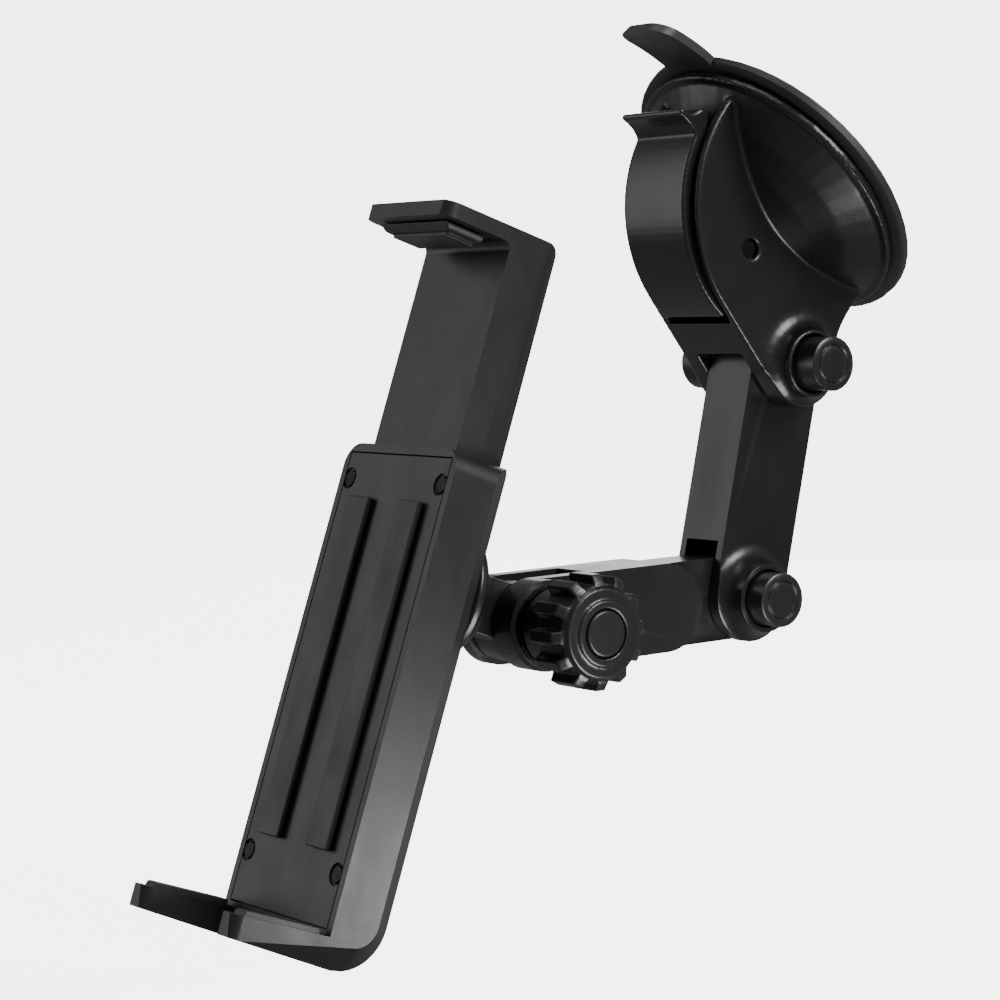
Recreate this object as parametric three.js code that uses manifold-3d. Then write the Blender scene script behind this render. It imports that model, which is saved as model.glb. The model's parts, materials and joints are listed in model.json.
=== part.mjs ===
// Car phone mount: suction base with a cam lever, two-link arm, tilting and swivelling clamp cradle.
// Millimetres, +Z up, X along every hinge axis. The origin is the centre of the suction face.
import * as THREE from 'three';
import { mergeVertices } from 'three/addons/utils/BufferGeometryUtils.js';
import Module from 'manifold-3d';

const wasm = await Module();
wasm.setup();

// ---------- driving dimensions ----------
const GAP = 0.3; // clearance between touching pieces
const CUP_TILT = 41.5; // degrees the suction face's normal rises above +Y
const CUP_RADIUS = 36.8;
const FLANGE_RADIUS = 34.2; // housing rim that presses on the cup
const FLANGE_BACK = -5.6; // along the cup's normal, from the suction face
const FLANGE_FRONT = -3.5;
const DOME_RADIUS = 32;
const DOME_TOP = -19.4;
const DOME_RISE = 13.4;
const DOME_WALL = 2.3;
const GEL_RADIUS = 33;

const CHEEK_HALF = 12.7; // half width of the housing over its cheeks
const CHEEK_ARC = { y: 0.1, z: -7, r: 34.1, from: 137.6, to: 217.2 };
const LOBE_RADIUS = 9.9; // cheeks around the upper hinge
const LEVER_PIN = { y: -18.2, z: -16.5 };
const LEVER_ARC = { y: -3.85, z: -6.66, r: 32.5, from: 152.6, to: 230.8 };
const LEVER_HALF = 10.5;
const LEVER_WALL = 2.6;
const LEVER_SWEEP = 17.2; // radius that the lever's lower end clears about its pin
const POST_TRAVEL = 2; // how far the cup's centre is let out when the lever opens

const UPPER_PIVOT = { y: -2.9, z: -42.2 };
const LOWER_PIVOT = { y: -13.8, z: -95.1 };
const TILT_PIVOT = { y: -74.1, z: -97.9 };
const ARM_HALF = 7.5; // upper arm's half width
const ARM_END = 10.2; // upper arm's half depth and end radius
const TONGUE_HALF = 5.1; // lower arm's tongue in the upper arm's fork
const TONGUE_END = 9.5;
const LINK_HALF = 8.5; // lower arm's half width
const LINK_END = 9.9; // lower arm's half height and end radius
const LINK_THIN = 24.8; // lower pivot to the centre of the thick part's round end
const BOLT_R = 2.5;
const BORE_R = BOLT_R + GAP;
const BOSS_R = 7.7;
const CAP_R = 6.1;

const CRADLE_TILT = -18.2; // degrees the cradle leans back
const CRADLE_HALF = 21;
const CRADLE_BACK = -23.5; // cradle coordinates start on the tilt axis
const CRADLE_FRONT = -39.9;
const CRADLE_TOP = 27.9;
const CRADLE_FOOT = -81.1;
const SLIDER_HALF = 15.5;
const JAW_TOP = 76.8;
const JAW_THICK = 3.3;
const JAW_REACH = -54.8;
const FOOT_REACH = -63.3;
const FOOT_TOP = -74.3;
const FOOT_INNER = 15.2;
const DISC_R = 15.6;
const WALL = 0.9; // cradle's back wall

const rad = THREE.MathUtils.degToRad;

// ---------- materials ----------
const plastic = (name, color, roughness) =>
  new THREE.MeshStandardMaterial({ name, color, roughness, metalness: 0 });
const metal = (name, color, roughness) =>
  new THREE.MeshStandardMaterial({ name, color, roughness, metalness: 1 });
const SATIN = plastic('satin_black', 0x0b0b0c, 0.38);
const MATTE = plastic('matte_black', 0x0e0e0f, 0.55);
const GLOSS = plastic('gloss_black', 0x070708, 0.2);
const RUBBER = plastic('black_rubber', 0x141415, 0.75);
const GEL = plastic('tacky_gel', 0x1b1b1d, 0.3);
const STEEL = metal('zinc_steel', 0xb4b6b8, 0.35);
const BRASS = metal('brass', 0xb59a55, 0.35);

// ---------- solids ----------
// A closed geometry becomes a manifold solid, turned right way out if it is inside out.
function solid(geometry) {
  const bare = geometry.clone();
  for (const name of Object.keys(bare.attributes)) {
    if (name !== 'position') bare.deleteAttribute(name);
  }
  const merged = mergeVertices(bare, 1e-4);
  const at = merged.attributes.position;
  const triangles = [];
  let volume = 0;
  const a = new THREE.Vector3();
  const b = new THREE.Vector3();
  const c = new THREE.Vector3();
  for (let i = 0; i < merged.index.count; i += 3) {
    const [p, q, r] = [0, 1, 2].map((k) => merged.index.getX(i + k));
    if (p === q || q === r || r === p) continue;
    triangles.push([p, q, r]);
    a.fromBufferAttribute(at, p);
    b.fromBufferAttribute(at, q);
    c.fromBufferAttribute(at, r);
    volume += a.dot(b.cross(c));
  }
  const outward = volume > 0 ? triangles : triangles.map(([p, q, r]) => [p, r, q]);
  return new wasm.Manifold(new wasm.Mesh({
    numProp: 3,
    vertProperties: new Float32Array(at.array),
    triVerts: new Uint32Array(outward.flat()),
  }));
}

const join = (first, ...rest) => rest.reduce((sum, piece) => sum.add(piece), first);
const cut = (first, ...rest) => rest.reduce((left, piece) => left.subtract(piece), first);

function piece(name, body, material) {
  const mesh = body.getMesh();
  const geometry = new THREE.BufferGeometry();
  geometry.setAttribute('position', new THREE.BufferAttribute(mesh.vertProperties, 3));
  geometry.setIndex(new THREE.BufferAttribute(mesh.triVerts, 1));
  geometry.computeVertexNormals();
  const result = new THREE.Mesh(geometry, material);
  result.name = name;
  return result;
}

// A side outline in (y, z) becomes a slab from x0 to x1.
function slab(outline, x0, x1, curveSegments = 12) {
  const geometry = new THREE.ExtrudeGeometry(outline, { depth: x1 - x0, bevelEnabled: false, curveSegments });
  const axes = new THREE.Matrix4().makeBasis(
    new THREE.Vector3(0, 1, 0), new THREE.Vector3(0, 0, 1), new THREE.Vector3(1, 0, 0));
  geometry.applyMatrix4(axes);
  geometry.translate(x0, 0, 0);
  return solid(geometry);
}

function box(x0, x1, y0, y1, z0, z1) {
  const geometry = new THREE.BoxGeometry(x1 - x0, y1 - y0, z1 - z0);
  geometry.translate((x0 + x1) / 2, (y0 + y1) / 2, (z0 + z1) / 2);
  return solid(geometry);
}

// A profile of [radius, height] points is turned about X, Y or Z through (x, y, z).
function turned(axis, profile, { x = 0, y = 0, z = 0, segments = 24 } = {}) {
  const points = profile.map(([r, h]) => new THREE.Vector2(r, h));
  const first = points[0];
  if (first.x > 0) points.push(first.clone());
  const geometry = new THREE.LatheGeometry(points, segments);
  if (axis === 'x') geometry.rotateZ(-Math.PI / 2);
  if (axis === 'z') geometry.rotateX(Math.PI / 2);
  geometry.translate(x, y, z);
  return solid(geometry);
}

const rod = (axis, r, from, to, place = {}) =>
  turned(axis, [[0, from], [r, from], [r, to], [0, to]], { segments: 16, ...place });

const hexNut = (from, to, place) => cut(
  turned('x', [[0, from], [4.5, from], [4.5, to], [0, to]], { segments: 6, ...place }),
  rod('x', BORE_R, from - 1, to + 1, place));

const polygon = (points) => new THREE.Shape(points.map(([y, z]) => new THREE.Vector2(y, z)));

// Two round ends of one radius joined by straight sides, from (0, 0) to (y, z).
function capsule(y, z, r) {
  const along = Math.atan2(z, y);
  const shape = new THREE.Shape();
  shape.absarc(0, 0, r, along + Math.PI / 2, along + 1.5 * Math.PI, false);
  shape.absarc(y, z, r, along - Math.PI / 2, along + Math.PI / 2, false);
  return shape;
}

// ---------- placing ----------
function frameAt(pivot, degrees, ...children) {
  const group = new THREE.Group();
  group.position.set(0, pivot.y, pivot.z);
  group.rotation.x = rad(degrees);
  group.add(...children);
  return group;
}

const cupTurn = CUP_TILT - 90; // turns local +Z to the suction face's normal
const intoCup = (body) => body.rotate([cupTurn, 0, 0]);

// ---------- hinge hardware, shared by both arm hinges ----------
// The boss is a raised collar that flares into the side it stands on.
function boss(side, top, recess, place) {
  const flareSteps = 5;
  const reach = 4.9;
  const height = top - side - 0.5;
  const flare = Array.from({ length: flareSteps + 1 }, (_, i) => {
    const turn = (Math.PI / 2) * (i / flareSteps);
    return [BOSS_R + reach * (1 - Math.sin(turn)), side + height * (1 - Math.cos(turn))];
  });
  return turned('x', [[0, side - 1], [BOSS_R + reach, side - 1], ...flare, [BOSS_R, top], [CAP_R + 0.5, top],
    [CAP_R + 0.5, recess], [0, recess]], { segments: 28, ...place });
}

function hingeCap(from, hollow, top) {
  return turned('x', [[0, hollow], [5, hollow], [5, from], [CAP_R, from], [CAP_R, top - 1.3], [4.9, top],
    [0, top]]);
}

function hingeHardware(name, recess, top) {
  const flip = (body) => body.rotate([0, 180, 0]);
  const floor = recess + GAP;
  const head = turned('x', [[0, -floor - 2.4], [4.3, -floor - 2.4], [4.7, -floor - 1.6], [4.7, -floor], [0, -floor]]);
  const shank = rod('x', BOLT_R, -floor - 1, floor + 4.8);
  const washer = cut(rod('x', 4.6, floor, floor + 0.7), rod('x', BORE_R, floor - 1, floor + 2));
  const cap = hingeCap(recess + 0.2, top - 1.6, top);
  return [
    piece(`${name}_bolt`, join(head, shank), STEEL),
    piece(`${name}_washer`, washer, STEEL),
    piece(`${name}_nut`, hexNut(floor + 1, floor + 4.2), STEEL),
    piece(`${name}_cap_right`, cap, SATIN),
    piece(`${name}_cap_left`, flip(cap), SATIN),
  ];
}

// ---------- suction base ----------
const domeHeight = (r) => DOME_TOP + DOME_RISE * (r / DOME_RADIUS) ** 1.75;

function domeProfile(outer, drop, steps) {
  return Array.from({ length: steps + 1 }, (_, i) => {
    const r = (outer * i) / steps;
    return [r, domeHeight(r) + drop];
  });
}

function cheekOutline(grow = 0) {
  const shape = new THREE.Shape();
  const arc = CHEEK_ARC;
  shape.absarc(arc.y, arc.z, arc.r + grow, rad(arc.from), rad(arc.to), false);
  shape.absarc(UPPER_PIVOT.y, UPPER_PIVOT.z, LOBE_RADIUS + grow, rad(arc.to), rad(368), false);
  shape.quadraticCurveTo(7.4, -33.6, 14.8, -26.6);
  shape.lineTo(-23.8, 17.2);
  return shape;
}

function leverTrough() {
  const { y, z, from } = CHEEK_ARC;
  const front = new THREE.Shape();
  front.absarc(y, z, 45, rad(from - 14), rad(224.5), false);
  front.lineTo(-24.7, -32.2);
  front.lineTo(LEVER_PIN.y, LEVER_PIN.z - 10);
  front.lineTo(6, -14);
  const half = LEVER_HALF + GAP;
  return join(
    slab(front, -half, half),
    rod('x', LEVER_SWEEP, -half, half, { ...LEVER_PIN, segments: 32 }));
}

function armSlot() {
  const half = ARM_HALF + GAP;
  const below = polygon([[-30, -80], [20, -80], [20, UPPER_PIVOT.z], [8, UPPER_PIVOT.z + 4.5],
    [-30, UPPER_PIVOT.z + 1]]);
  return join(
    rod('x', ARM_END + 0.5, -half, half, { ...UPPER_PIVOT, segments: 32 }),
    slab(below, -half, half));
}

function baseHousing() {
  const outer = intoCup(turned('z', [...domeProfile(DOME_RADIUS, 0, 5), [DOME_RADIUS + 0.3, FLANGE_BACK],
    [FLANGE_RADIUS, FLANGE_BACK], [FLANGE_RADIUS, FLANGE_FRONT], [0, FLANGE_FRONT]], { segments: 48 }));
  const hollow = intoCup(turned('z', [...domeProfile(DOME_RADIUS - 3.2, DOME_WALL, 3),
    [DOME_RADIUS - 1, FLANGE_FRONT + 1], [0, FLANGE_FRONT + 1]], { segments: 48 }));
  const postHole = intoCup(rod('z', 4.6, -30, -10));
  const block = cut(slab(cheekOutline(), -CHEEK_HALF, CHEEK_HALF, 10), leverTrough());
  const limit = slab(cheekOutline(), -20, 20, 10);
  const right = boss(CHEEK_HALF, 17, 14.4, UPPER_PIVOT);
  const bosses = join(right, right.mirror([1, 0, 0])).intersect(limit);
  const bolt = rod('x', BORE_R, -20, 20, UPPER_PIVOT);
  const pin = rod('x', 2.3, -20, 20, LEVER_PIN);
  return cut(join(cut(block, armSlot()), bosses, outer), hollow, postHole, bolt, pin);
}

function suctionCup() {
  const dish = turned('z', [[0, -1.8], [GEL_RADIUS + GAP, -1.8], [GEL_RADIUS + GAP, -0.2], [35.6, -0.2],
    [CUP_RADIUS, -1.3], [36.6, -2.7], [35.6, -3.1], [29.8, -3.1], [28, -4.4], [20, -7.2], [11, -9.2],
    [9.6, -9.2], [9.6, -3.2], [0, -3.2]], { segments: 48 });
  const strap = new THREE.Shape();
  strap.moveTo(-34.6, -1.1);
  strap.quadraticCurveTo(-42, -2.6, -52.2, -8.6);
  strap.lineTo(-51.2, -10.4);
  strap.quadraticCurveTo(-42, -5, -34.6, -3.1);
  const plan = new THREE.Shape();
  plan.moveTo(7.5, -30);
  plan.lineTo(-7.5, -30);
  plan.absarc(-2.9, -46.6, 4.6, Math.PI, 1.5 * Math.PI, false);
  plan.absarc(2.9, -46.6, 4.6, 1.5 * Math.PI, 2 * Math.PI, false);
  const tip = new THREE.ExtrudeGeometry(plan, { depth: 20, bevelEnabled: false, curveSegments: 10 });
  tip.translate(0, 0, -14);
  return join(dish, slab(strap, -7.5, 7.5, 6).intersect(solid(tip)));
}

// A wire of radius r wound about Z, from one height to the other.
function coil(radius, wire, from, to, turns, x = 0, y = 0) {
  class Helix extends THREE.Curve {
    getPoint(t) {
      const angle = 2 * Math.PI * turns * t;
      return new THREE.Vector3(x + radius * Math.cos(angle), y + radius * Math.sin(angle), from + (to - from) * t);
    }
  }
  const section = new THREE.Shape().absarc(0, 0, wire, 0, 2 * Math.PI, false);
  return solid(new THREE.ExtrudeGeometry(section, {
    steps: turns * 7, curveSegments: 3, bevelEnabled: false, extrudePath: new Helix(),
  }));
}

function cupPost() {
  const stem = rod('z', 3.9, -30.8, -7.5);
  const eye = slab(capsule(0, -POST_TRAVEL - 0.4, 2.3), -5, 5, 8).translate([0, 0, -24.5]);
  const flats = join(box(-5, -2.9, -5, 5, -32, -21), box(2.9, 5, -5, 5, -32, -21));
  return cut(stem, eye, flats);
}

function camLever() {
  const { y, z, r, from, to } = LEVER_ARC;
  const plate = new THREE.Shape();
  plate.absarc(y, z, r, rad(from), rad(to), false);
  plate.absarc(y, z, r - LEVER_WALL, rad(to), rad(from), true);
  const lip = new THREE.Shape();
  lip.moveTo(-29.6, 6.4);
  lip.quadraticCurveTo(-29.2, 9.4, -29, 12.2);
  lip.absarc(-30.7, 12.4, 1.7, 0, rad(120), false);
  lip.quadraticCurveTo(-33.4, 12.4, -36, 13.9);
  lip.absarc(-36.3, 13.2, 0.75, rad(60), rad(235), false);
  lip.quadraticCurveTo(-32.9, 10.6, -32.3, 7.2);
  const ear = new THREE.Shape();
  ear.absarc(y, z, r - 1, rad(170), rad(212), false);
  ear.absarc(LEVER_PIN.y, LEVER_PIN.z, 4.7, rad(270), rad(440), false);
  const inner = LEVER_HALF - 2.6;
  return cut(
    join(
      slab(plate, -LEVER_HALF, LEVER_HALF, 14),
      slab(lip, -LEVER_HALF, LEVER_HALF, 5),
      slab(ear, inner, LEVER_HALF, 10),
      slab(ear, -LEVER_HALF, -inner, 10)),
    rod('x', 2.3, -20, 20, LEVER_PIN));
}

function suctionBase() {
  const inCup = frameAt({ y: 0, z: 0 }, cupTurn,
    piece('suction_cup', suctionCup(), RUBBER),
    piece('gel_pad', rod('z', GEL_RADIUS, -1.5, 0, { segments: 48 }), GEL),
    piece('cup_insert', rod('z', 9.2, -7.2, -5.6, { segments: 32 }), STEEL),
    piece('cup_post', cupPost(), STEEL),
    piece('post_spring', coil(5.6, 0.5, -8.2, -15.6, 4), STEEL));
  const group = new THREE.Group();
  group.add(
    piece('base_housing', baseHousing(), SATIN),
    piece('cam_lever', camLever(), GLOSS),
    piece('lever_pin', rod('x', 2, -11.6, 11.6, LEVER_PIN), STEEL),
    inCup,
    frameAt(UPPER_PIVOT, 0, ...hingeHardware('upper_hinge', 14.4, 23)));
  return group;
}

// ---------- arms ----------
const armLength = Math.hypot(LOWER_PIVOT.y - UPPER_PIVOT.y, LOWER_PIVOT.z - UPPER_PIVOT.z);
const armLean = THREE.MathUtils.radToDeg(
  Math.atan2(LOWER_PIVOT.y - UPPER_PIVOT.y, UPPER_PIVOT.z - LOWER_PIVOT.z));
const linkLength = Math.hypot(TILT_PIVOT.y - LOWER_PIVOT.y, TILT_PIVOT.z - LOWER_PIVOT.z);
const linkPitch = THREE.MathUtils.radToDeg(
  Math.atan2(LOWER_PIVOT.z - TILT_PIVOT.z, LOWER_PIVOT.y - TILT_PIVOT.y));

function upperArm() {
  const end = { y: 0, z: -armLength };
  const side = capsule(0, -armLength, ARM_END);
  const right = boss(ARM_HALF, 13.6, 11, end);
  const bosses = join(right, right.mirror([1, 0, 0])).intersect(slab(side, -20, 20, 10));
  const forkTop = 11;
  const slot = box(-TONGUE_HALF - GAP, TONGUE_HALF + GAP, -15, 15, end.z - 15, end.z + forkTop);
  return cut(join(slab(side, -ARM_HALF, ARM_HALF, 10), bosses), slot,
    rod('x', BORE_R, -20, 20), rod('x', BORE_R, -20, 20, end));
}

function lowerArm() {
  const thick = new THREE.Shape();
  thick.absarc(-LINK_THIN, 0, LINK_END, rad(-90), rad(90), false);
  thick.absarc(-linkLength, 0, LINK_END, rad(90), rad(270), false);
  const tilt = { y: -linkLength, z: 0 };
  const hub = turned('x', [[0, LINK_HALF - 1], [LINK_END, LINK_HALF - 1], [LINK_END, 11.8], [9.2, 12.5], [0, 12.5]],
    { ...tilt, segments: 32 });
  const clevisDepth = 15.5;
  const slot = box(-5, 5, -linkLength - 15, -linkLength + clevisDepth, -15, 15);
  const headPocket = rod('x', 5.5, -12, -LINK_HALF + 1.6, tilt);
  return cut(
    join(slab(thick, -LINK_HALF, LINK_HALF, 10), slab(capsule(-LINK_THIN - 8, 0, TONGUE_END), -TONGUE_HALF, TONGUE_HALF, 10), hub),
    slot, headPocket, rod('x', BORE_R, -20, 20), rod('x', BORE_R, -20, 20, tilt));
}

function clampKnob() {
  const core = turned('x', [[0, 14.1], [8.4, 14.1], [8.6, 14.6], [8.6, 21], [10.3, 21.4], [10.3, 30], [9.4, 31.6],
    [6.9, 31.6], [6.9, 32.2], [5.3, 32.2], [5.3, 30.4], [0, 30.4]], { segments: 36 });
  const ribCount = 12;
  const ribs = Array.from({ length: ribCount }, (_, i) => {
    const outline = polygon([[-1.5, 9], [-1.3, 12.3], [1.3, 12.3], [1.5, 9]]);
    return slab(outline, 21.4, 30.6).rotate([(360 / ribCount) * i, 0, 0]);
  });
  const trim = turned('x', [[0, 20], [13, 20], [13, 29], [9.6, 31.2], [0, 31.2]], { segments: 36 });
  const pocket = turned('x', [[0, 14], [4.8, 14], [4.8, 19.2], [0, 19.2]], { segments: 6 });
  return cut(join(core, join(...ribs).intersect(trim)), pocket, rod('x', BORE_R, 13, 28));
}

function arms() {
  const shank = rod('x', BOLT_R, -8, 26.5);
  const head = turned('x', [[0, -9.7], [4.6, -9.7], [5.1, -9], [5.1, -7.2], [0, -7.2]]);
  const tilt = { y: -linkLength, z: 0 };
  const clampHardware = frameAt(tilt, 0,
    piece('clamp_bolt', join(shank, head), STEEL),
    piece('clamp_washer', cut(rod('x', 8.8, 12.8, 13.8), rod('x', BORE_R, 12, 15)), STEEL),
    piece('clamp_knob', clampKnob(), SATIN),
    piece('knob_nut', hexNut(15.2, 18.9, {}), BRASS),
    piece('knob_cap', turned('x', [[0, 30.7], [5, 30.7], [5, 32], [4.6, 32.4], [0, 32.4]]), SATIN));
  const group = new THREE.Group();
  group.add(
    frameAt(UPPER_PIVOT, armLean, piece('upper_arm', upperArm(), SATIN)),
    frameAt(LOWER_PIVOT, 0, ...hingeHardware('lower_hinge', 11, 18.6)),
    frameAt(LOWER_PIVOT, linkPitch, piece('lower_arm', lowerArm(), SATIN), clampHardware));
  return group;
}

// ---------- tilt bracket and swivel ----------
function tiltBracket() {
  const tongue = join(
    rod('x', 8.8, -4.7, 4.7, { segments: 32 }),
    box(-4.7, 4.7, -20, 0, -5.6, 7));
  const face = CRADLE_BACK + 2 * GAP;
  const disc = turned('y', [[0, face], [DISC_R - 1, face], [DISC_R, face + 0.9], [DISC_R, face + 2.4],
    [DISC_R - 0.9, face + 3.4], [11.4, -18.8], [10.6, -15.6], [9.8, -15], [0, -15]], { segments: 40 });
  return cut(join(tongue, disc), rod('x', BORE_R, -9, 9), rod('y', 2.9, -24, -10.5));
}

function swivel() {
  return [
    piece('tilt_bracket', tiltBracket(), SATIN),
    piece('swivel_screw', turned('y', [[0, -29.8], [5.6, -29.8], [6, -29.2], [6, -27.6], [2.6, -27.6], [2.6, -11],
      [0, -11]]), STEEL),
    piece('swivel_washer', cut(rod('y', 8, -27.3, -26.8), rod('y', 2.9, -28, -26)), STEEL),
  ];
}

// ---------- cradle ----------
function footOutline() {
  const heel = 11;
  const shape = new THREE.Shape();
  shape.moveTo(CRADLE_FRONT, CRADLE_TOP);
  shape.lineTo(CRADLE_FRONT, FOOT_TOP);
  shape.lineTo(FOOT_REACH, FOOT_TOP);
  shape.lineTo(FOOT_REACH + 0.6, FOOT_TOP - 4.8);
  shape.lineTo(CRADLE_BACK - heel, CRADLE_FOOT);
  shape.absarc(CRADLE_BACK - heel, CRADLE_FOOT + heel, heel, rad(270), rad(360), false);
  shape.lineTo(CRADLE_BACK, CRADLE_TOP - 2);
  shape.absarc(CRADLE_BACK - 2, CRADLE_TOP - 2, 2, 0, rad(90), false);
  return shape;
}

// The back corners are chamfered, and the chamfer runs round the heel and fades out under the feet.
function chamferedBlock() {
  const heel = 11;
  const along = 5;
  const inward = 5.5;
  const outline = new THREE.Shape();
  outline.moveTo(-90, 60);
  outline.lineTo(-90, -88.5);
  outline.absarc(CRADLE_BACK - heel, CRADLE_FOOT + heel, heel, rad(285), rad(360), false);
  outline.lineTo(CRADLE_BACK, 60);
  const geometry = new THREE.ExtrudeGeometry(outline, {
    depth: 2 * (CRADLE_HALF - along), bevelThickness: along, bevelSize: inward, bevelOffset: -inward,
    bevelSegments: 1, curveSegments: 8,
  });
  geometry.applyMatrix4(new THREE.Matrix4().makeBasis(
    new THREE.Vector3(0, 1, 0), new THREE.Vector3(0, 0, 1), new THREE.Vector3(1, 0, 0)));
  geometry.translate(along - CRADLE_HALF, 0, 0);
  return solid(geometry);
}

// An outline in (x, y) becomes a block from z0 to z1.
function upright(outline, z0, z1, curveSegments = 6) {
  const geometry = new THREE.ExtrudeGeometry(outline, { depth: z1 - z0, bevelEnabled: false, curveSegments });
  geometry.translate(0, 0, z0);
  return solid(geometry);
}

// A tongue from y = rear to y = front whose two front corners are round.
function roundNosed(x0, x1, rear, front, r) {
  const shape = new THREE.Shape();
  shape.moveTo(x1, rear);
  shape.lineTo(x0, rear);
  shape.absarc(x0 + r, front + r, r, Math.PI, 1.5 * Math.PI, false);
  shape.absarc(x1 - r, front + r, r, 1.5 * Math.PI, 2 * Math.PI, false);
  return shape;
}

// A wedge along Z that takes the long back corner off at x = half.
function backChamfer(half, back, wide, deep, bottom, top) {
  const plan = new THREE.Shape([[half, back - deep], [half + 2, back - deep], [half + 2, back + 2],
    [half - wide, back + 2], [half - wide, back]].map(([x, y]) => new THREE.Vector2(x, y)));
  const geometry = new THREE.ExtrudeGeometry(plan, { depth: top - bottom, bevelEnabled: false });
  geometry.translate(0, 0, bottom);
  const right = solid(geometry);
  return join(right, right.mirror([1, 0, 0]));
}

function topCorners() {
  const r = 5;
  const corner = cut(box(CRADLE_HALF - r, CRADLE_HALF + 1, -60, 0, CRADLE_TOP - r, CRADLE_TOP + 1),
    rod('y', r, -61, 1, { x: CRADLE_HALF - r, z: CRADLE_TOP - r, segments: 32 }));
  return join(corner, corner.mirror([1, 0, 0]));
}

const SCREWS = [-62, 20].flatMap((z) => [-17.2, 17.2].map((x) => ({ x, z })));

function cradleBody() {
  const cavity = box(-SLIDER_HALF - 0.4, SLIDER_HALF + 0.4, CRADLE_FRONT - 1, CRADLE_BACK - WALL, -72, CRADLE_TOP + 5);
  const seat = box(-19.2, 19.2, CRADLE_FRONT - 1, CRADLE_FRONT + 2, -73.2, 26);
  const feet = join(
    upright(roundNosed(-CRADLE_HALF, -FOOT_INNER, -30, FOOT_REACH, 2.6), -90, -60),
    upright(roundNosed(FOOT_INNER, CRADLE_HALF, -30, FOOT_REACH, 2.6), -90, -60),
    box(-CRADLE_HALF - 1, CRADLE_HALF + 1, CRADLE_FRONT - 1.4, 0, -90, 60));
  const lipOpening = box(-SLIDER_HALF - 0.4, SLIDER_HALF + 0.4, CRADLE_FRONT + 1.7, -30, 20, CRADLE_TOP + 5);
  const rim = box(-SLIDER_HALF - 1, SLIDER_HALF + 1, CRADLE_FRONT, CRADLE_FRONT + 1.7, 26, CRADLE_TOP);
  const swivelBoss = turned('y', [[0, -26.5], [10, -26.5], [10, -23.6], [0, -23.6]], { segments: 32 });
  const padSeats = [1, -1].map((side) => box(
    Math.min(side * 15.8, side * 20.4), Math.max(side * 15.8, side * 20.4), -60.9, -41.4, FOOT_TOP - 1, FOOT_TOP + 1));
  const screwHoles = SCREWS.map((at) => rod('y', 1.1, CRADLE_FRONT, -31, { ...at, segments: 12 }));
  const block = slab(footOutline(), -CRADLE_HALF, CRADLE_HALF, 10).intersect(chamferedBlock()).intersect(feet);
  const shell = cut(block, topCorners(), cavity, seat);
  const pinHoles = rod('x', 1.3, -18.5, 18.5, { y: -35.3, z: -70.6, segments: 12 });
  return cut(join(shell, cut(rim, lipOpening), swivelBoss), rod('y', 3, -30, -20, { segments: 24 }),
    pinHoles, ...padSeats, ...screwHoles);
}

function cradleCover() {
  const plate = box(-18.9, 18.9, CRADLE_FRONT, CRADLE_FRONT + 1.7, -72.9, 25.7);
  const holes = SCREWS.map((at) => turned('y', [[0, CRADLE_FRONT - 1], [2.4, CRADLE_FRONT - 1], [2.4, CRADLE_FRONT + 0.5],
    [1.2, CRADLE_FRONT + 1], [1.2, CRADLE_FRONT + 3], [0, CRADLE_FRONT + 3]], { ...at, segments: 16 }));
  return cut(plate, ...holes);
}

function coverScrews() {
  const top = CRADLE_FRONT + 0.1;
  return SCREWS.map((at, i) => piece(`cover_screw_${i + 1}`, turned('y', [[0, top], [1.7, top], [1.9, top + 0.3],
    [0.8, top + 1.2], [0.8, -32], [0, -31.4]], { ...at, segments: 12 }), STEEL));
}

function sliderBody() {
  const r = 2.5;
  const back = CRADLE_BACK - WALL - GAP;
  const outline = new THREE.Shape();
  outline.moveTo(-37.2, 23.5);
  outline.lineTo(back, 23.5);
  outline.lineTo(back, JAW_TOP - r);
  outline.absarc(back - r, JAW_TOP - r, r, 0, rad(90), false);
  outline.lineTo(JAW_REACH, JAW_TOP);
  outline.lineTo(JAW_REACH - 0.2, JAW_TOP - JAW_THICK);
  outline.lineTo(-39.2, JAW_TOP - JAW_THICK);
  outline.absarc(-39.2, JAW_TOP - JAW_THICK - 2, 2, rad(90), 0, true);
  const body = slab(outline, -SLIDER_HALF, SLIDER_HALF, 8);
  const channel = cut(box(-SLIDER_HALF, SLIDER_HALF, -37.2, back, -46, 25), box(-11.2, 11.2, -33.4, -20, -50, 24.5));
  const hookHole = rod('x', 1.1, -17, 17, { y: -35.3, z: -44.6, segments: 12 });
  const window = box(-7.5, 7.5, -38, -32, -30, 12);
  const chamfer = backChamfer(SLIDER_HALF, back, 0.9, 3.2, -50, 90);
  const plan = upright(roundNosed(-SLIDER_HALF, SLIDER_HALF, 0, JAW_REACH - 0.3, 3.4), -60, 90, 7);
  return cut(join(body, channel).intersect(plan), chamfer, window, hookHole);
}

function jawPad() {
  const top = JAW_TOP - JAW_THICK - GAP;
  const front = -52;
  const rear = -42;
  const upper = slab(polygon([[front, top], [rear, top], [rear, top - 1.6], [front + 1.2, top - 1.6]]), -12.4, 12.4);
  const corner = cut(box(10.8, 13, front - 1, rear + 1, top - 3, top + 1),
    turned('y', [[0, front - 2], [1.6, front - 2], [1.6, rear + 2], [0, rear + 2]], { x: 10.8, z: top, segments: 24 }));
  const sides = join(corner, corner.mirror([1, 0, 0]));
  const lower = box(-10, 10, front + 2.2, rear - 0.6, top - 2.4, top - 1.5);
  return join(cut(upper, sides), lower);
}

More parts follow.
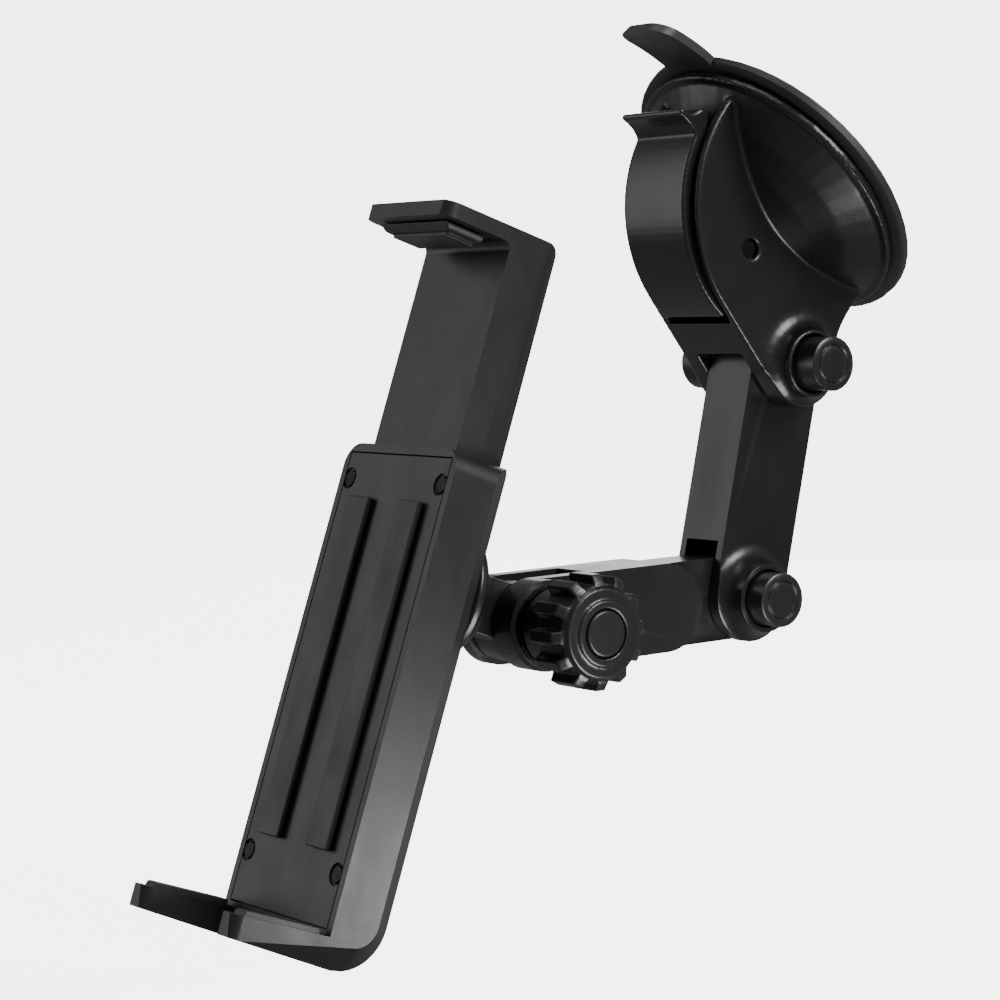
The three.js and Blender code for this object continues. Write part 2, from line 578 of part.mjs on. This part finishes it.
function cradle() {
  const padTop = FOOT_TOP + 1.2;
  const footPad = (side) => {
    const [x0, x1] = side > 0 ? [16.1, 20.1] : [-20.1, -16.1];
    const outline = polygon([[-60.6, FOOT_TOP - 0.7], [-60.2, padTop - 0.3], [-59.7, padTop], [-42.2, padTop],
      [-41.7, FOOT_TOP - 0.7]]);
    return slab(outline, x0, x1);
  };
  const backPad = (x0, x1) => box(x0, x1, CRADLE_FRONT - 1.6, CRADLE_FRONT - GAP, -58, 16);
  const spring = (x) => coil(1.8, 0.38, -69.2, -46.8, 5, x, -35.3);
  return [
    piece('cradle_body', cradleBody(), MATTE),
    piece('cradle_cover', cradleCover(), MATTE),
    ...coverScrews(),
    piece('back_pad_left', backPad(-13.5, -5.5), RUBBER),
    piece('back_pad_right', backPad(5.5, 13.5), RUBBER),
    piece('foot_pad_left', footPad(-1), RUBBER),
    piece('foot_pad_right', footPad(1), RUBBER),
    piece('clamp_spring_left', spring(-5), STEEL),
    piece('clamp_spring_right', spring(5), STEEL),
    piece('spring_pin', rod('x', 1, -18, 18, { y: -35.3, z: -70.6, segments: 12 }), STEEL),
    piece('slider', sliderBody(), MATTE),
    piece('jaw_pad', jawPad(), RUBBER),
  ];
}

// ---------- the whole mount ----------
const mount = new THREE.Group();
mount.add(suctionBase(), arms(), frameAt(TILT_PIVOT, CRADLE_TILT, ...swivel(), ...cradle()));

export default mount;
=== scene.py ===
"""Car phone mount: moulded black plastic parts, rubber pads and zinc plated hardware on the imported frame."""
import json
import math
import bmesh
import bpy
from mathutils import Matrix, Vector


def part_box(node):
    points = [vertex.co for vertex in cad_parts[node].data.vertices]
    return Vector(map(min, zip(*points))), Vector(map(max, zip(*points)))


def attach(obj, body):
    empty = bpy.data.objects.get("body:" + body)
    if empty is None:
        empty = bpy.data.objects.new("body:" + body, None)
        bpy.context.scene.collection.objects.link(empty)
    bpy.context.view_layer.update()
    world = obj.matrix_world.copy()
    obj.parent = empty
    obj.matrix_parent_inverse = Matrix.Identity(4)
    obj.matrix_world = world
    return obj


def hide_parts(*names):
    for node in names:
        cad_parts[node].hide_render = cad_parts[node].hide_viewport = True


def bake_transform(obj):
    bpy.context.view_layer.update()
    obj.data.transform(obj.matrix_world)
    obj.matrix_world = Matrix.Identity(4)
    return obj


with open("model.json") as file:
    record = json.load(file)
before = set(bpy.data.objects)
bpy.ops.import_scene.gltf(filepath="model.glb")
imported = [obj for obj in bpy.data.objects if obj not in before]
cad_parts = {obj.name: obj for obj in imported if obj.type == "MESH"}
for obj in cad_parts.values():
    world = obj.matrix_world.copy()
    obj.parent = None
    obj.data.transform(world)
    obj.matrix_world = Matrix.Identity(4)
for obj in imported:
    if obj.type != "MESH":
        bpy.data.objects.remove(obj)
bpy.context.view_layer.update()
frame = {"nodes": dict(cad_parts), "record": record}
MM = 0.001
CREASE = math.radians(35)
BEHAVIOUR = frame["record"]["behaviour"]
BODY_OF_NODE = {node: body for body, nodes in BEHAVIOUR["bodies"].items() for node in nodes}
SLOT_OF_NODE = {part["node"]: part["material_slot"] for part in frame["record"]["subparts"]}


# ---------- materials ----------
def new_material(name):
    material = bpy.data.materials.new(name)
    material.use_nodes = True
    nodes = material.node_tree.nodes
    shader = next(n for n in nodes if n.type == "BSDF_PRINCIPLED")
    place = nodes.new("ShaderNodeTexCoord")
    return material, shader, place


def noise(material, place, scale, detail=3.0, roughness=0.5, stretch=None):
    tree = material.node_tree
    pattern = tree.nodes.new("ShaderNodeTexNoise")
    pattern.inputs["Scale"].default_value = scale
    pattern.inputs["Detail"].default_value = detail
    pattern.inputs["Roughness"].default_value = roughness
    source = place.outputs["Object"]
    if stretch:
        mapping = tree.nodes.new("ShaderNodeMapping")
        mapping.inputs["Scale"].default_value = stretch
        tree.links.new(source, mapping.inputs["Vector"])
        source = mapping.outputs["Vector"]
    tree.links.new(source, pattern.inputs["Vector"])
    return pattern.outputs["Fac"]


def spread(material, value, low, high, start=0.35, stop=0.65):
    """A pattern's middle range becomes low to high."""
    tree = material.node_tree
    ranged = tree.nodes.new("ShaderNodeMapRange")
    ranged.inputs["From Min"].default_value = start
    ranged.inputs["From Max"].default_value = stop
    ranged.inputs["To Min"].default_value = low
    ranged.inputs["To Max"].default_value = high
    tree.links.new(value, ranged.inputs["Value"])
    return ranged.outputs["Result"]


def blend_colours(material, factor, first, second):
    tree = material.node_tree
    mix = tree.nodes.new("ShaderNodeMix")
    mix.data_type = "RGBA"
    mix.inputs["A"].default_value = (*first, 1)
    mix.inputs["B"].default_value = (*second, 1)
    tree.links.new(factor, mix.inputs["Factor"])
    return mix.outputs["Result"]


def add_bump(material, shader, height, depth, under=None):
    tree = material.node_tree
    bump = tree.nodes.new("ShaderNodeBump")
    bump.inputs["Distance"].default_value = depth
    bump.inputs["Strength"].default_value = 1.0
    tree.links.new(height, bump.inputs["Height"])
    if under:
        tree.links.new(under, bump.inputs["Normal"])
    tree.links.new(bump.outputs["Normal"], shader.inputs["Normal"])
    return bump.outputs["Normal"]


def pale_convex_edges(material, low, high):
    """Where the surface is convex, as on the corners of a moulding: there the base colour turns paler."""
    tree = material.node_tree
    geometry = tree.nodes.new("ShaderNodeNewGeometry")
    return spread(material, geometry.outputs["Pointiness"], low, high, 0.5, 0.58)


# Paler base colours that moulded() mixes in on convex edges.
PALE_EDGE_PLASTIC = (0.016, 0.016, 0.017)
PALE_EDGE_RUBBER = (0.028, 0.028, 0.029)


def moulded(name, dark, light, gloss, matt, grain, depth, pale_edge=PALE_EDGE_PLASTIC, swell=0.03 * MM):
    """Moulded plastic: tone and gloss drift over the piece, a fine die grain, and a paler base colour on
    convex edges.
    """
    material, shader, place = new_material(name)
    links = material.node_tree.links
    drift = spread(material, noise(material, place, 45, 4), 0, 1)
    tone = blend_colours(material, drift, dark, light)
    mix = material.node_tree.nodes.new("ShaderNodeMix")
    mix.data_type = "RGBA"
    # Convex edges, found by surface pointiness, get a paler base colour.
    mix.inputs["B"].default_value = (*pale_edge, 1)
    links.new(pale_convex_edges(material, 0, 0.7), mix.inputs["Factor"])
    links.new(tone, mix.inputs["A"])
    links.new(mix.outputs["Result"], shader.inputs["Base Color"])
    smear = noise(material, place, 130, 6, 0.6, (1, 1, 0.4))
    links.new(spread(material, smear, gloss, matt, 0.3, 0.7), shader.inputs["Roughness"])
    wave = add_bump(material, shader, noise(material, place, 60, 1), swell)
    add_bump(material, shader, noise(material, place, grain, 2, 0.6), depth, wave)
    shader.inputs["Specular IOR Level"].default_value = 0.4
    return material


def plated(name, dark, light, gloss, matt):
    """Bright zinc or brass: fine turning lines and a slightly uneven plating."""
    material, shader, place = new_material(name)
    links = material.node_tree.links
    cloud = spread(material, noise(material, place, 300, 4), 0, 1)
    links.new(blend_colours(material, cloud, dark, light), shader.inputs["Base Color"])
    lines = noise(material, place, 900, 4, 0.6, (6, 1, 1))
    links.new(spread(material, lines, gloss, matt), shader.inputs["Roughness"])
    add_bump(material, shader, lines, 0.02 * MM)
    shader.inputs["Metallic"].default_value = 1.0
    return material


SATIN = moulded("satin_black", (0.0035, 0.0035, 0.0037), (0.006, 0.006, 0.0063), 0.27, 0.36,
                grain=2600, depth=0.012 * MM)
MATTE = moulded("spark_black", (0.004, 0.004, 0.0042), (0.0065, 0.0065, 0.0068), 0.36, 0.46,
                grain=2200, depth=0.02 * MM)
LEVER_GLOSS = moulded("lever_black", (0.003, 0.003, 0.0032), (0.005, 0.005, 0.0053), 0.25, 0.29,
                      grain=1800, depth=0.005 * MM, swell=0.01 * MM)
RUBBER = moulded("soft_rubber", (0.007, 0.007, 0.0073), (0.011, 0.011, 0.0114), 0.42, 0.56,
                 grain=1600, depth=0.02 * MM, pale_edge=PALE_EDGE_RUBBER)
GEL = moulded("tacky_gel", (0.015, 0.015, 0.016), (0.026, 0.026, 0.028), 0.18, 0.34,
              grain=500, depth=0.03 * MM)
BLACKENED = plated("blackened_steel", (0.01, 0.01, 0.011), (0.02, 0.02, 0.022), 0.35, 0.5)
ZINC = plated("zinc_plate", (0.5, 0.51, 0.53), (0.68, 0.69, 0.7), 0.22, 0.42)
BRASS = plated("turned_brass", (0.62, 0.44, 0.19), (0.78, 0.6, 0.3), 0.2, 0.4)
FINISH_OF_SLOT = {"satin_plastic": SATIN, "matte_plastic": MATTE, "lever_plastic": LEVER_GLOSS,
                  "soft_rubber": RUBBER, "gel": GEL, "steel": ZINC, "brass": BRASS}


def finish(piece, material):
    piece.data.materials.clear()
    piece.data.materials.append(material)


# ---------- pieces from the frame's solids ----------
def make_active(piece):
    bpy.ops.object.select_all(action="DESELECT")
    piece.select_set(True)
    bpy.context.view_layer.objects.active = piece


def stands_for(piece, node):
    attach(piece, BODY_OF_NODE[node])
    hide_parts(node)
    finish(piece, FINISH_OF_SLOT[SLOT_OF_NODE[node]])


def copy_of(node, name):
    """A copy of the node's solid, its doubled corners merged and its needless edges dissolved."""
    piece = bpy.data.objects.new(name, frame["nodes"][node].data.copy())
    bpy.context.scene.collection.objects.link(piece)
    make_active(piece)
    bpy.ops.object.mode_set(mode="EDIT")
    bpy.ops.mesh.select_all(action="SELECT")
    bpy.ops.mesh.remove_doubles(threshold=0.05 * MM)
    bpy.ops.mesh.dissolve_limited(angle_limit=math.radians(1.5))
    bpy.ops.object.mode_set(mode="OBJECT")
    return piece


def soften(piece, width, segments=3, angle=32):
    make_active(piece)
    bevel = piece.modifiers.new("edges", "BEVEL")
    bevel.width = width
    bevel.segments = segments
    bevel.limit_method = "ANGLE"
    bevel.angle_limit = math.radians(angle)
    bevel.use_clamp_overlap = True
    bevel.miter_outer = "MITER_ARC"
    bpy.ops.object.modifier_apply(modifier="edges")


def smooth(piece):
    """Flat faces stay flat, and only the rounded edges turn the light."""
    make_active(piece)
    bpy.ops.object.shade_smooth()
    piece.modifiers.new("flats", "WEIGHTED_NORMAL").keep_sharp = True
    bpy.ops.object.modifier_apply(modifier="flats")


def melt(piece, grain, passes):
    """Rounds every corner a little, as a worn mould does, on pieces whose edges run into one another."""
    make_active(piece)
    skin = piece.modifiers.new("skin", "REMESH")
    skin.mode = "VOXEL"
    skin.voxel_size = grain
    bpy.ops.object.modifier_apply(modifier="skin")
    relax = piece.modifiers.new("relax", "SMOOTH")
    relax.factor = 0.5
    relax.iterations = passes
    bpy.ops.object.modifier_apply(modifier="relax")
    bpy.ops.object.shade_smooth()


def moulding(node, width):
    piece = copy_of(node, node + "_moulding")
    soften(piece, width)
    smooth(piece)
    stands_for(piece, node)


def melted(node, grain, passes):
    piece = copy_of(node, node + "_moulding")
    melt(piece, grain, passes)
    stands_for(piece, node)


def pull_spring(node):
    """The spring's wire: a zinc copy of its solid, baked into world space and tied to no body."""
    spring = copy_of(node, node + "_wire")
    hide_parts(node)
    finish(spring, ZINC)
    bpy.ops.object.shade_smooth_by_angle(angle=CREASE)
    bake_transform(spring)


# Bevel widths and remesh grains are in millimetres; a remesh's second number is its smoothing passes.
BEVELLED = {
    "suction_cup": 0.3, "upper_arm": 0.4, "lower_arm": 0.4, "knob_cap": 0.2, "tilt_bracket": 0.35,
    "cradle_body": 0.45, "cradle_cover": 0.3, "slider": 0.45, "jaw_pad": 0.25,
    "back_pad_left": 0.4, "back_pad_right": 0.4, "foot_pad_left": 0.25, "foot_pad_right": 0.25,
}
MELTED = {"base_housing": (0.4, 4), "cam_lever": (0.27, 7), "clamp_knob": (0.3, 4)}
SPRINGS = ("clamp_spring_left", "clamp_spring_right")
BLACK_STEEL = ["lever_pin", "clamp_washer"] + [f"cover_screw_{number}" for number in range(1, 5)]
for node, width in BEVELLED.items():
    moulding(node, width * MM)
for node, (grain, passes) in MELTED.items():
    melted(node, grain * MM, passes)
for node in SPRINGS:
    pull_spring(node)
for node, obj in frame["nodes"].items():
    if node in BEVELLED or node in MELTED or node in SPRINGS or "_cap_" in node:
        continue
    finish(obj, BLACKENED if node in BLACK_STEEL else FINISH_OF_SLOT[SLOT_OF_NODE[node]])
    make_active(obj)
    bpy.ops.object.shade_smooth_by_angle(angle=CREASE)


def select_faces(piece, test):
    """Leaves exactly the faces that pass the test selected, in edit mode."""
    mesh = bmesh.from_edit_mesh(piece.data)
    bpy.ops.mesh.select_mode(type="FACE")
    bpy.ops.mesh.select_all(action="DESELECT")
    for face in mesh.faces:
        face.select_set(test(face))
    bmesh.update_edit_mesh(piece.data)


CAP_EDGE, CAP_LIFT = 0.9 * MM, 0.25 * MM
RING_MARGIN, RING_SLOPE, RING_FLOOR, RING_DEPTH = 0.7 * MM, 0.22 * MM, 0.12 * MM, 0.35 * MM
CROWN_EDGE, CROWN_LIFT = 1.2 * MM, 0.12 * MM
CAP_WALL, HOLLOW_TAPER, HOLLOW_DEPTH = 1.1 * MM, 0.02 * MM, 4.2 * MM


def hinge_cap(node, side):
    """A push-in cap: a chamfered disc with one fine ring cut in its face."""
    low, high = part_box(node)
    middle = (Vector(low) + Vector(high)) / 2
    radius = (high[2] - low[2]) / 2
    bpy.ops.mesh.primitive_cylinder_add(vertices=72, radius=radius, depth=high[0] - low[0], location=middle,
                                        rotation=(0, math.radians(90), 0))
    cap = bpy.context.active_object
    cap.name = node + "_button"
    bpy.ops.object.transform_apply(location=True, rotation=True, scale=True)
    bpy.ops.object.mode_set(mode="EDIT")
    select_faces(cap, lambda face: face.normal.x * side > 0.9)
    bpy.ops.mesh.inset(thickness=CAP_EDGE)
    bpy.ops.transform.translate(value=(CAP_LIFT * side, 0, 0))
    bpy.ops.mesh.inset(thickness=RING_MARGIN)
    bpy.ops.mesh.inset(thickness=RING_SLOPE, depth=-RING_DEPTH)
    bpy.ops.mesh.inset(thickness=RING_FLOOR)
    bpy.ops.mesh.inset(thickness=RING_SLOPE, depth=RING_DEPTH)
    bpy.ops.mesh.inset(thickness=CROWN_EDGE)
    bpy.ops.transform.translate(value=(CROWN_LIFT * side, 0, 0))
    select_faces(cap, lambda face: face.normal.x * side < -0.9)
    bpy.ops.mesh.inset(thickness=CAP_WALL)
    bpy.ops.mesh.inset(thickness=HOLLOW_TAPER, depth=-HOLLOW_DEPTH)
    bpy.ops.object.mode_set(mode="OBJECT")
    soften(cap, 0.22 * MM, 2, 40)
    smooth(cap)
    stands_for(cap, node)


for hinge in ("upper_hinge", "lower_hinge"):
    hinge_cap(hinge + "_cap_right", 1)
    hinge_cap(hinge + "_cap_left", -1)


# ---------- floor, light and camera ----------
FLOOR_HEIGHT = -0.19
FLOOR_RADIUS = 3.0
BOWL_STEPS = 12
MIDDLE = (0, -0.06, -0.07)


def studio():
    """A flat paper floor whose rim curves up, in a quarter circle, into a wall."""
    bpy.ops.mesh.primitive_circle_add(vertices=96, radius=FLOOR_RADIUS, fill_type="NGON",
                                      location=(0, 0, FLOOR_HEIGHT))
    floor = bpy.context.active_object
    floor.name = "floor"
    bpy.ops.object.mode_set(mode="EDIT")
    bpy.ops.mesh.select_mode(type="EDGE")
    bpy.ops.mesh.select_all(action="SELECT")
    bpy.ops.mesh.region_to_loop()
    quarter = math.pi / 2
    stride = FLOOR_RADIUS * quarter / BOWL_STEPS
    radius = FLOOR_RADIUS
    for step in range(BOWL_STEPS):
        rise = stride * math.sin(quarter * (step + 0.5) / BOWL_STEPS)
        grown = FLOOR_RADIUS * (1 + math.sin(quarter * (step + 1) / BOWL_STEPS))
        bpy.ops.mesh.extrude_edges_move(TRANSFORM_OT_translate={"value": (0, 0, rise)})
        bpy.ops.transform.resize(value=(grown / radius, grown / radius, 1), center_override=(0, 0, 0))
        radius = grown
    bpy.ops.object.mode_set(mode="OBJECT")
    bpy.ops.object.shade_smooth()
    paper, shader, place = new_material("paper")
    mottle = spread(paper, noise(paper, place, 3, 2), 0, 1)
    paper.node_tree.links.new(blend_colours(paper, mottle, (0.86, 0.86, 0.86), (0.88, 0.88, 0.88)),
                              shader.inputs["Base Color"])
    shader.inputs["Roughness"].default_value = 0.9
    shader.inputs["Emission Color"].default_value = (1, 1, 1, 1)
    shader.inputs["Emission Strength"].default_value = 4.5
    shader.inputs["Specular IOR Level"].default_value = 0.1
    finish(floor, paper)
    floor.visible_glossy = False
    floor.visible_diffuse = False


def softbox(name, place, size, power, target=MIDDLE):
    light = bpy.data.lights.new(name, "AREA")
    light.shape = "RECTANGLE"
    light.size, light.size_y = size
    light.energy = power
    lamp = bpy.data.objects.new(name, light)
    lamp.location = place
    lamp.rotation_euler = (Vector(target) - Vector(place)).to_track_quat("-Z", "Y").to_euler()
    lamp.visible_camera = False
    bpy.context.scene.collection.objects.link(lamp)


def lights():
    softbox("key_light", (-0.75, -0.85, 0.2), (0.5, 0.9), 3.2)
    softbox("side_light", (1.05, 0.35, 0.75), (0.5, 0.5), 22)
    softbox("top_light", (0.1, -0.1, 1.2), (0.6, 0.6), 5)
    softbox("back_light", (-0.9, 0.9, 0.3), (0.6, 0.6), 3)
    softbox("table_bounce", (0.13, -0.05, -0.175), (0.08, 0.08), 0.4, target=(0.03, -0.01, 0.0))
    world = bpy.data.worlds.new("studio")
    world.use_nodes = True
    world.node_tree.nodes["Background"].inputs["Color"].default_value = (1, 1, 1, 1)
    world.node_tree.nodes["Background"].inputs["Strength"].default_value = 0.3
    bpy.context.scene.world = world


def camera():
    lens = bpy.data.cameras.new("camera")
    lens.lens = 103.24
    lens.sensor_width = 36
    lens.clip_end = 30
    eye = bpy.data.objects.new("camera", lens)
    eye.location = (0.5020, -0.4389, -0.0360)
    azimuth, elevation = math.radians(54.31), math.radians(3.27)
    ahead = Vector((-math.sin(azimuth) * math.cos(elevation), math.cos(azimuth) * math.cos(elevation),
                    -math.sin(elevation)))
    eye.rotation_euler = ahead.to_track_quat("-Z", "Y").to_euler()
    bpy.context.scene.collection.objects.link(eye)
    bpy.context.scene.camera = eye


studio()
lights()
camera()
